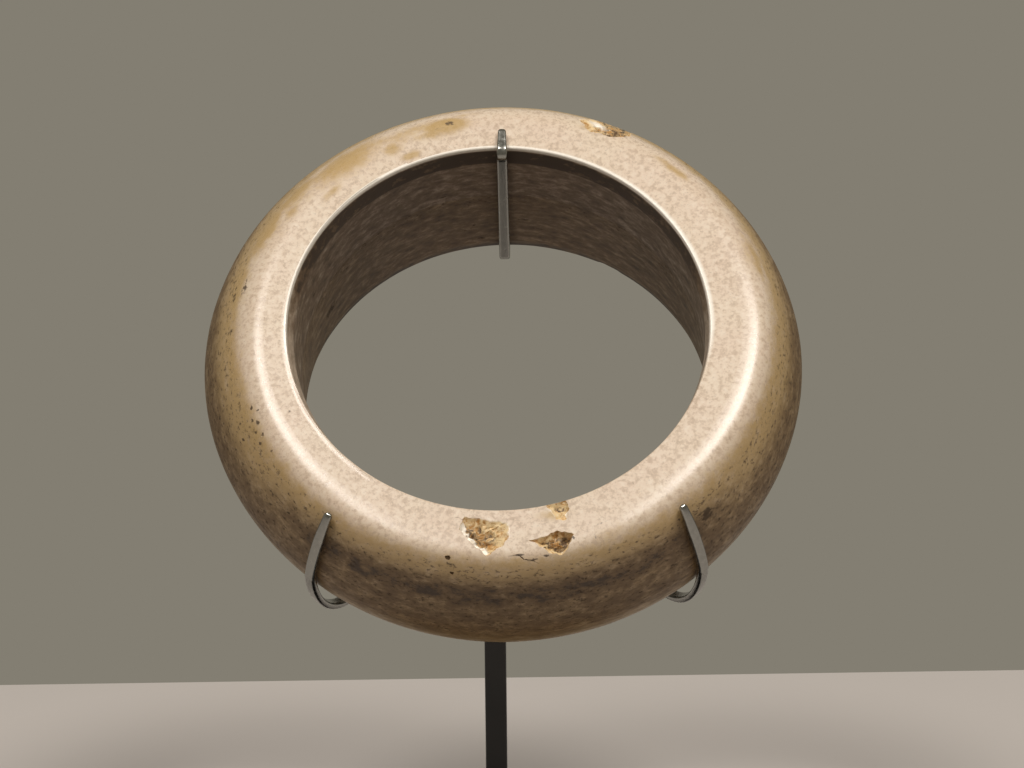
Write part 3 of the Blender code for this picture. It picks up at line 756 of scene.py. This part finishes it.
DIRT = (
    (-45.0, 39.4, 1.9, 1.7, 1.1), (-44.6, 40.9, 2.4, 1.2, 0.7), (-66.3, 34.2, 1.8, 0.25, 0.9),
    (-69.3, 35.6, 0.35, 1.2, 0.9), (-66.7, 37.3, 2.2, 0.3, 0.9), (-86.4, 36.3, 1.5, 0.3, 1.1),
    (-83.7, 37.0, 1.1, 0.35, 1.1), (-80.5, 36.7, 1.0, 0.4, 0.9), (-97.0, 36.9, 1.0, 0.7, 0.8),
    (-98.9, 36.6, 0.8, 0.5, 0.7), (-100.9, 37.7, 3.0, 1.2, 0.7), (-105.8, 37.0, 2.0, 0.5, 0.6),
    (-76.7, 38.3, 0.9, 0.5, 0.8), (168.4, 36.7, 2.2, 1.0, 0.9), (170.3, 38.0, 2.0, 0.8, 0.9),
    (179.1, 37.8, 1.4, 0.7, 0.9), (-160.1, 36.6, 0.5, 0.4, 1.2), (-158.7, 36.0, 0.4, 0.4, 1.1),
    (-157.5, 37.1, 0.4, 0.4, 1.2), (-156.1, 36.6, 0.6, 0.4, 1.2), (-154.7, 37.3, 0.4, 0.4, 1.2),
    (-153.2, 36.7, 0.5, 0.4, 1.2), (-152.0, 37.6, 0.4, 0.4, 1.2), (-150.6, 37.9, 0.6, 0.3, 1.1),
    (-155.9, 39.0, 0.5, 0.4, 1.1), (-154.9, 32.1, 0.4, 0.3, 1.2), (-148.4, 36.9, 0.5, 0.4, 1.0),
    (-146.2, 37.6, 0.5, 0.4, 1.0), (142.0, 37.7, 1.4, 0.6, 0.8), (117.9, 33.2, 1.0, 0.5, 0.7),
    (102.6, 34.7, 1.3, 0.9, 0.95), (105.4, 34.0, 1.6, 0.6, 0.8), (-153.3, 38.7, 2.0, 0.6, 0.7),
    (-120.0, 40.0, 3.0, 1.0, 0.7), (-75.6, 34.5, 0.9, 0.4, 1.2), (-74.0, 35.0, 0.4, 0.5, 1.1),
    (-80.2, 35.5, 0.7, 0.3, 1.1), (-78.0, 36.3, 0.5, 0.4, 1.0), (-95.0, 32.0, 0.6, 0.3, 0.9),
    (-97.4, 33.0, 0.7, 0.3, 0.8), (-96.0, 34.0, 0.5, 0.3, 0.8),
)
PALE = (
    (-99.7, 32.4, 0.8, 0.7, 2.6), (-98.5, 33.2, 0.8, 0.7, 2.6), (-97.2, 34.0, 0.8, 0.7, 2.6),
    (-95.8, 34.8, 0.8, 0.7, 2.6), (-94.3, 35.6, 0.8, 0.7, 2.6), (-92.2, 36.0, 0.6, 0.3, 0.9),
    (-90.4, 35.3, 0.5, 0.3, 0.9), (-73.6, 31.2, 0.4, 0.6, 2.4), (-74.4, 35.2, 0.3, 0.5, 1.6),
    (-76.6, 36.8, 0.6, 0.25, 1.6), (68.5, 37.6, 2.6, 1.8, 0.6), (-85.8, 37.1, 0.7, 0.25, 0.9),
    (-82.9, 37.4, 0.6, 0.25, 0.9),
)
# In the bore the second number is the height instead
BORE_INSET = 0.9
BORE_MARKS = (
    (98.7, -18.8, 0.8, 0.35, 1.3), (97.4, -15.7, 0.5, 0.3, 1.1), (96.5, -22.6, 1.0, 0.3, 1.3),
    (84.0, -20.0, 0.9, 0.3, 1.2), (55.3, -20.3, 0.5, 0.35, 1.5), (117.0, -11.4, 2.4, 0.4, 1.1),
    (134.0, -11.0, 1.8, 0.5, 0.9), (108.0, -9.5, 2.2, 0.4, 0.9), (87.0, -15.6, 1.4, 0.25, 1.2),
    (84.0, -17.4, 1.6, 0.25, 1.2), (80.6, -19.6, 1.8, 0.3, 1.2), (76.0, -19.0, 1.6, 0.3, 1.0),
    (151.5, -17.8, 3.0, 1.6, 1.0), (100.5, -19.5, 3.0, 0.8, 0.8), (36.0, -13.0, 2.6, 0.5, 0.9),
    (31.0, -9.5, 2.4, 0.5, 0.8), (20.0, -14.5, 1.8, 0.5, 0.9), (126.0, -17.5, 2.0, 0.5, 0.8),
    (142.0, -15.0, 2.2, 0.5, 0.8), (66.0, -8.5, 2.0, 0.4, 0.7), (159.0, -8.0, 1.6, 0.5, 0.9),
    (165.0, -14.0, 1.4, 0.6, 0.7),
)


def bore_axes(azimuth, height):
    """A place in the bore with its directions round it, along it and into the stone."""
    out, around = directions(azimuth)
    spot = out * (LIP_RADIUS - BORE_INSET) + Vector((0, 0, height))
    return spot, (around, Vector((0, 0, 1)), out)


def soft_spots(places, spots, find=wall_axes):
    """The strongest pull of any of these stains at each place."""
    pull = np.zeros(len(places))
    for azimuth, radius, length, width, strength in spots:
        centre, (around, across, out) = find(azimuth, radius)
        offset = places - np.array(centre)
        far = (offset @ np.array(around) / length) ** 2
        far += (offset @ np.array(across) / width) ** 2 + (offset @ np.array(out) / max(length, width)) ** 2
        pull = np.maximum(pull, strength * np.exp(-far))
    return pull


def smooth_step(value, low, high):
    share = np.clip((value - low) / (high - low), 0, 1)
    return share * share * (3 - 2 * share)


# Places of the broad stains, the painted shade and the painted lip highlight in millimetres, their
# strengths, and how deep a scar is to count as 1
BELT_RADIUS = 36.9
BELT_OCHRE = 0.74
BELT_DIRT = 0.66
BACK_BROWN = 0.84
BORE_BROWN_AND_SHADE = 0.92
SHADE_BAND_DEPTH = 5.4
SHADE_BAND_REACH = 2.5
LIP_HIGHLIGHT_WIDTH = 0.35
FULL_DEPTH = 0.9

places = np.array([v.co for v in cut_mesh.vertices])
x, y, z = places.T
radii = np.hypot(x, y)
angles = np.degrees(np.arctan2(y, x))
# The bore's own middle slides sideways with depth
bore_middles = np.interp(-z, (0, HEIGHT), (BORE_SHIFT_FRONT, BORE_SHIFT_REAR))
bore_radii = np.hypot(x - bore_middles, y)
in_bore = (bore_radii < LIP_RADIUS + 0.15) & (z < -0.4)
# The belt starts nearer the lip at the bottom and on the left than at the top
belt_start = BELT_RADIUS - smooth_step(-y / OUTER_RADIUS, -0.3, 0.8)
belt_start -= smooth_step(-x / OUTER_RADIUS, 0.5, 1.0)
belt = smooth_step(radii - belt_start, -0.8, 2.2)
belt[z < -WIDEST_DEPTH] = 1.0
ochre = np.maximum(soft_spots(places, OCHRE), BELT_OCHRE * belt)
# The back is plainer than the front
plain = 1 - 0.4 * smooth_step(-z, 11.0, 18.0)
dirt = np.maximum(soft_spots(places, DIRT), BELT_DIRT * belt * plain)
dirt = np.maximum(dirt, soft_spots(places, BORE_MARKS, bore_axes))
brown = BACK_BROWN * smooth_step(-z, 2.2, 8.0)
# Painted shade: a dark, streaky band below the turn of the wall at the bottom, where the
# lamps' light ends
low_side = smooth_step(-y / radii, 0.35, 0.85)
painted_shade_band = np.exp(-((z + SHADE_BAND_DEPTH) / SHADE_BAND_REACH) ** 2) * low_side * (radii > CROWN_RADIUS)
brown = np.maximum(brown, 1.15 * painted_shade_band)
# The band's share of dirt gives the dark soil mottles in it
dirt = np.maximum(dirt, 0.45 * painted_shade_band)
brown *= plain
# The bore is brown, partly stain and partly painted shade, and painted shade darkens its rear edge further
brown[in_bore] = BORE_BROWN_AND_SHADE + 0.5 * smooth_step(-z[in_bore], HEIGHT - 1.6, HEIGHT - 0.8)
# The small bevel behind the lip is brown, and painted shade darkens it towards the top, where it faces down
bevel = in_bore & (z > -BEVEL_DEPTH - 0.1)
brown[bevel] = 0.55 + 0.95 * smooth_step(y[bevel] / LIP_RADIUS, -0.1, 0.6)
depth = (-front_depth(radii, angles) - z) / FULL_DEPTH
# A pale line painted along the lip, strongest at the top, is a painted highlight; some edges of the scars
# are worn pale
lip_highlight = (z > -LIP_HIGHLIGHT_WIDTH) & (bore_radii < LIP_RADIUS + LIP_HIGHLIGHT_WIDTH)
pale_and_highlight = np.where(depth > 0.12, soft_spots(places, PALE), 0.0)
pale_and_highlight[lip_highlight] = np.maximum(pale_and_highlight[lip_highlight], smooth_step(y[lip_highlight] / LIP_RADIUS, -0.5, 0.1))
values_of = {"ochre": ochre, "brown": brown, "dirt": dirt, "pale_and_highlight": pale_and_highlight, "depth": np.clip(depth, 0, 1)}
for name, values in values_of.items():
    cut_mesh.attributes.new(name, "FLOAT", "POINT").data.foreach_set("value", values.astype(np.float32))
cut_mesh.transform(ring_to_row)
cut_mesh.set_sharp_from_angle(angle=radians(32))
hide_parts("bracelet")
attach(bracelet, "root")
print("stains laid on", len(places), "points")

# %% [markdown]
# ## The steel mount
# Museums make such claws from steel strip, filed round at the tips and polished by hand. Polished
# steel mirrors the room, so it looks grey with bright and dark streaks, and fine scratches blur it.
# A slight unevenness in the roughness is enough here, because a scratch is far finer than a pixel.

# %% Build the metal and lacquer materials
steel, tree, shader, place = new_material("polished_steel")
scratches = add_node(tree, "ShaderNodeTexNoise", {
    "Vector": place, "Scale": per(0.8), "Detail": 6.0, "Roughness": 0.7})
tones = {0: scratches, 6: linear("82827E"), 7: linear("B0AFA9")}
colour = add_node(tree, "ShaderNodeMix", tones, data_type="RGBA").outputs[2]
rough = add_node(tree, "ShaderNodeMapRange", {
    "Value": scratches, "From Min": 0.3, "From Max": 0.7, "To Min": 0.14, "To Max": 0.30})
bump = add_node(tree, "ShaderNodeBump", {"Strength": 0.15, "Distance": 0.03 * MM, "Height": scratches})
feed(tree, shader, {"Base Color": colour, "Roughness": rough, "Normal": bump, "Metallic": 1.0})

solder, tree, shader, place = new_material("silver_solder")
skin_noise = add_node(tree, "ShaderNodeTexNoise", {"Vector": place, "Scale": per(0.7), "Detail": 5.0})
tones = {0: skin_noise, 6: linear("7E7B72"), 7: linear("A9A69C")}
colour = add_node(tree, "ShaderNodeMix", tones, data_type="RGBA").outputs[2]
bump = add_node(tree, "ShaderNodeBump", {"Strength": 0.4, "Distance": 0.08 * MM, "Height": skin_noise})
feed(tree, shader, {"Base Color": colour, "Roughness": 0.42, "Normal": bump, "Metallic": 1.0})

# Satin black lacquer: the brush leaves a very fine orange peel, and dust greys it a little
lacquer, tree, shader, place = new_material("black_satin_lacquer")
peel = add_node(tree, "ShaderNodeTexNoise", {"Vector": place, "Scale": per(0.9), "Detail": 3.0})
dust = add_node(tree, "ShaderNodeTexNoise", {"Vector": place, "Scale": per(9.0), "Detail": 6.0})
tones = {0: dust, 6: linear("0E0C0B"), 7: linear("1C1A18")}
colour = add_node(tree, "ShaderNodeMix", tones, data_type="RGBA").outputs[2]
rough = add_node(tree, "ShaderNodeMapRange", {
    "Value": dust, "From Min": 0.35, "From Max": 0.7, "To Min": 0.34, "To Max": 0.46})
bump = add_node(tree, "ShaderNodeBump", {"Strength": 0.25, "Distance": 0.04 * MM, "Height": peel})
feed(tree, shader, {"Base Color": colour, "Roughness": rough, "Normal": bump})
print("metal and lacquer:", steel.name, solder.name, lacquer.name)

# %% [markdown]
# ## Sweeping the claws with Geometry Nodes
# A claw is one strip that follows a path, so a profile is swept along a line. The scale of the
# profile falls towards the tip: slowly over the last few millimetres, and then as a quarter circle,
# which rounds the end off. The same tree makes all three claws from three paths.

# %% Build the node tree of a claw
sweeping, given = new_tree("claw_sweeping", (
    ("Path", "Geometry"), ("Width", "Float"), ("Thickness", "Float"), ("Corner", "Float"),
    ("Taper length", "Float"), ("Tip share", "Float"), ("Tip round", "Float"), ("Material", "Material")))
path = add_node(sweeping, "GeometryNodeMeshToCurve", {"Mesh": given["Path"]})
path = add_node(sweeping, "GeometryNodeResampleCurve", {"Curve": path, "Count": 220})
profile = add_node(sweeping, "GeometryNodeCurvePrimitiveQuadrilateral", {
    "Width": given["Width"], "Height": given["Thickness"]})
profile = add_node(sweeping, "GeometryNodeFilletCurve", {
    "Curve": profile, "Radius": given["Corner"], "Limit Radius": True, "Count": 5}, mode="POLY")
length = add_node(sweeping, "GeometryNodeSplineLength").outputs["Length"]
gone = add_node(sweeping, "GeometryNodeSplineParameter").outputs["Length"]
left = add_node(sweeping, "ShaderNodeMath", {0: length, 1: gone}, operation="SUBTRACT")
taper = add_node(sweeping, "ShaderNodeMapRange", {
    "Value": left, "From Min": 0.0, "From Max": given["Taper length"],
    "To Min": given["Tip share"], "To Max": 1.0})
near = add_node(sweeping, "ShaderNodeMapRange", {
    "Value": left, "From Min": 0.0, "From Max": given["Tip round"], "To Min": 1.0, "To Max": 0.0})
square = add_node(sweeping, "ShaderNodeMath", {0: near, 1: near}, operation="MULTIPLY")
rest = add_node(sweeping, "ShaderNodeMath", {0: 1.02, 1: square}, operation="SUBTRACT")
circle = add_node(sweeping, "ShaderNodeMath", {0: rest, 1: 0.5}, operation="POWER")
scale = add_node(sweeping, "ShaderNodeMath", {0: taper, 1: circle}, operation="MULTIPLY")
strip = add_node(sweeping, "GeometryNodeCurveToMesh", {
    "Curve": path, "Profile Curve": profile, "Scale": scale, "Fill Caps": True})
end_tree(sweeping, strip, given["Material"])
print(sweeping.name, "has", len(sweeping.nodes), "nodes")

# %% [markdown]
# The top claw runs forwards along the bore and hooks outwards over the front lip. The two lower
# ones run round the outside of the wall, a little clear of the stone, and end on the front shoulder.
# Each path is drawn as radius and height, and then turned to its angle round the ring.

# %% Make the claws
TOP_CLAW_ANGLE = 90.0
LEFT_CLAW_ANGLE = -127.6
RIGHT_CLAW_ANGLE = -50.9
CLAW_WIDTH = 1.55
CLAW_THICKNESS = 1.0
CLAW_CLEARANCE = 0.3
CLAW_AWAY = CLAW_CLEARANCE + CLAW_THICKNESS / 2
HOOP_MIDDLE = (HOOP_FRONT + HOOP_BACK) / 2
TOP_CLAW_REACH = 2.65
TOP_CLAW_LIP_BEND = 1.1
TOP_CLAW_REAR_BEND = 1.8
SIDE_CLAW_TIP = 7.6


def arc(centre, radius, start, end, steps=14):
    turns = [radians(start + (end - start) * i / steps) for i in range(steps + 1)]
    return [(centre[0] + radius * cos(t), centre[1] + radius * sin(t)) for t in turns]


def top_claw_line():
    run = LIP_RADIUS - WAIST_INSET - CLAW_AWAY
    start = (HOOP_RADIUS - HOOP_WIDTH / 2 + 0.1, HOOP_MIDDLE)
    rear_centre = (run + TOP_CLAW_REAR_BEND, HOOP_MIDDLE + TOP_CLAW_REAR_BEND)
    lip_centre = (run + TOP_CLAW_LIP_BEND, CLAW_AWAY - TOP_CLAW_LIP_BEND)
    bends = arc(rear_centre, TOP_CLAW_REAR_BEND, 270, 180) + arc(lip_centre, TOP_CLAW_LIP_BEND, 180, 90)
    return [start] + bends + [(LIP_RADIUS + TOP_CLAW_REACH, CLAW_AWAY)]


def side_claw_line(azimuth, steps=60):
    start = (HOOP_RADIUS + HOOP_WIDTH / 2 - 0.1, HOOP_MIDDLE)
    line = superellipse(start, (OUTER_RADIUS + CLAW_AWAY, -WIDEST_DEPTH), 2.0, steps)
    tip_radius = LIP_RADIUS + SIDE_CLAW_TIP
    for i in range(1, steps + 1):
        turn = pi / 2 * (1 - i / steps)
        skin, normal = skin_at(*plan(azimuth, tip_radius + (OUTER_RADIUS - tip_radius) * sin(turn) ** 1.5))
        spot = skin + normal * CLAW_AWAY
        line.append((hypot(spot.x, spot.y), spot.z))
    return line


def turn_line(line, azimuth, splay):
    """Puts a line of radius and height at an angle round the ring, leaning over by splay at its tip."""
    lengths = [0.0]
    for here, there in zip(line, line[1:]):
        lengths.append(lengths[-1] + hypot(there[0] - here[0], there[1] - here[1]))
    points = []
    for (radius, height), gone in zip(line, lengths):
        angle = radians(azimuth + splay * (gone / lengths[-1]) ** 2)
        points.append((radius * cos(angle), radius * sin(angle), height))
    return points


for name, line, azimuth, splay in (
        ("claw_top", top_claw_line(), TOP_CLAW_ANGLE, 0.0),
        ("claw_left", side_claw_line(LEFT_CLAW_ANGLE), LEFT_CLAW_ANGLE, -0.8),
        ("claw_right", side_claw_line(RIGHT_CLAW_ANGLE), RIGHT_CLAW_ANGLE, 1.4)):
    mesh = grow(name, line_mesh(turn_line(line, azimuth, splay), False), sweeping, {
        "Width": CLAW_WIDTH, "Thickness": CLAW_THICKNESS, "Corner": 0.34, "Taper length": 4.5,
        "Tip share": 0.72, "Tip round": 0.55, "Material": steel})
    mesh.transform(ring_to_row)
    mesh.set_sharp_from_angle(angle=radians(40))
    claw = add_object("polished_" + name, mesh)
    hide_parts(name)
    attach(claw, "root")
    low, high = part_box(name)
    print(name, len(mesh.polygons), "faces; CAD box", [round(1000 * v, 1) for v in (*low, *high)])

# %% [markdown]
# The hoop, the post and the foot are right as the CAD model has them, so they keep their shape and
# get a better finish. Where the claws and the post meet the hoop, a small uneven bead of silver
# solder holds them.

# %% Finish the hoop, the post and the foot, and add the solder
for node, material in (("back_hoop", steel), ("post", lacquer), ("foot", lacquer)):
    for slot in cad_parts[node].material_slots:
        slot.material = material

CLAW_BEAD = (1.25, 0.62, 0.74)
POST_BEAD = (1.8, 1.5, 0.42)

shape = bmesh.new()
for azimuth, radius, number in (
        (TOP_CLAW_ANGLE, 31.0, 1), (LEFT_CLAW_ANGLE, 33.6, 2), (RIGHT_CLAW_ANGLE, 33.6, 3)):
    out, around = directions(azimuth)
    lump(shape, out * radius + Vector((0, 0, HOOP_MIDDLE)), (around, out, Vector((0, 0, 1))),
         CLAW_BEAD, 0.35, number)
lump(shape, Vector((-RING_SIDE_SHIFT, -HOOP_RADIUS, HOOP_BACK - 0.15)),
     (Vector((1, 0, 0)), Vector((0, 1, 0)), Vector((0, 0, 1))), POST_BEAD, 0.3, 4)
bmesh.ops.recalc_face_normals(shape, faces=shape.faces)
beads = object_from("solder_beads", shape, [solder])
beads.data.transform(ring_to_row)
beads.data.shade_smooth()
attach(beads, "root")
print("four beads with", len(beads.data.polygons), "faces")

# %% [markdown]
# ## Floor, light and background
# The floor is a pale board that ends a little behind the mount, with a plain grey beyond it. One
# broad lamp hangs overhead, and two smaller ones at the upper left and right draw the long soft
# highlights along the crown of the ring. The broad one is kept out of reflections, because its
# reflection would run along the top of the crown. Reflections and the camera see the plain grey,
# and a much dimmer one lights the shadows.

# %% Lay the floor and set the lamps
FLOOR_REAR_LEFT = (-1500.0, 71.0)
FLOOR_REAR_RIGHT = (1500.0, 149.0)
FLOOR_FRONT = -1500.0

corners = ((FLOOR_REAR_LEFT[0], FLOOR_FRONT), (FLOOR_REAR_RIGHT[0], FLOOR_FRONT),
           FLOOR_REAR_RIGHT, FLOOR_REAR_LEFT)
floor_mesh = bpy.data.meshes.new("pale_board")
floor_mesh.from_pydata([(x * MM, y * MM, 0) for x, y in corners], [], [(0, 1, 2, 3)])
floor = add_object("pale_board", floor_mesh)
board, tree, shader, place = new_material("painted_board")
feed(tree, shader, {"Base Color": linear("C5BEB7"), "Roughness": 0.8})
floor_mesh.materials.append(board)
floor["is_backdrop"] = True


def lamp(name, azimuth, elevation, distance, size, watts, hex_colour):
    """An area lamp that looks at the ring from an angle right of the front and one above the horizon."""
    light = bpy.data.lights.new(name, "AREA")
    light.shape = "ELLIPSE"
    light.size, light.size_y = size
    light.energy = watts
    light.color = linear(hex_colour)[:3]
    turn, rise = radians(azimuth), radians(elevation)
    way = Vector((sin(turn) * cos(rise), -cos(turn) * cos(rise), sin(rise)))
    holder = add_object(name, light)
    holder.location = ring_place.translation + way * distance
    holder.rotation_mode = "QUATERNION"
    holder.rotation_quaternion = way.to_track_quat("Z", "Y")
    return holder


lamp("overhead_lamp", 0, 97, 0.8, (0.5, 0.5), 1.2, "FFF9F2").visible_glossy = False
lamp("left_lamp", -42, 63, 1.0, (0.38, 0.27), 4.4, "FFFAF4")
lamp("right_lamp", 46, 62, 1.0, (0.42, 0.27), 5.4, "FFFAF4")
ROOM_FILL = 0.02

world = bpy.data.worlds.new("plain_grey")
bpy.context.scene.world = world
world.use_nodes = True
tree = world.node_tree
tree.nodes.clear()
path = add_node(tree, "ShaderNodeLightPath")
seen = add_node(tree, "ShaderNodeBackground", {"Color": linear("837E72"), "Strength": 1.0})
fill = add_node(tree, "ShaderNodeBackground", {"Color": linear("A09684"), "Strength": ROOM_FILL})
room = add_node(tree, "ShaderNodeMixShader", {0: path.outputs["Is Diffuse Ray"], 1: seen, 2: fill})
add_node(tree, "ShaderNodeOutputWorld", {"Surface": room})
bpy.context.scene.view_settings.view_transform = "Standard"
print("three lamps and a grey background")

# %% [markdown]
# ## The two boxes
# The boxes of the CAD model and of the dressed object are both printed. The dressed object has
# to stay within the box of the CAD model.

# %% Print the two boxes
dressed_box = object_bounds()
boxes = {"cad": [list(corner) for corner in cad_box], "dressed": [list(corner) for corner in dressed_box]}
for name, (low, high) in boxes.items():
    print(name, [round(v * 1000, 2) for v in (*low, *high)])
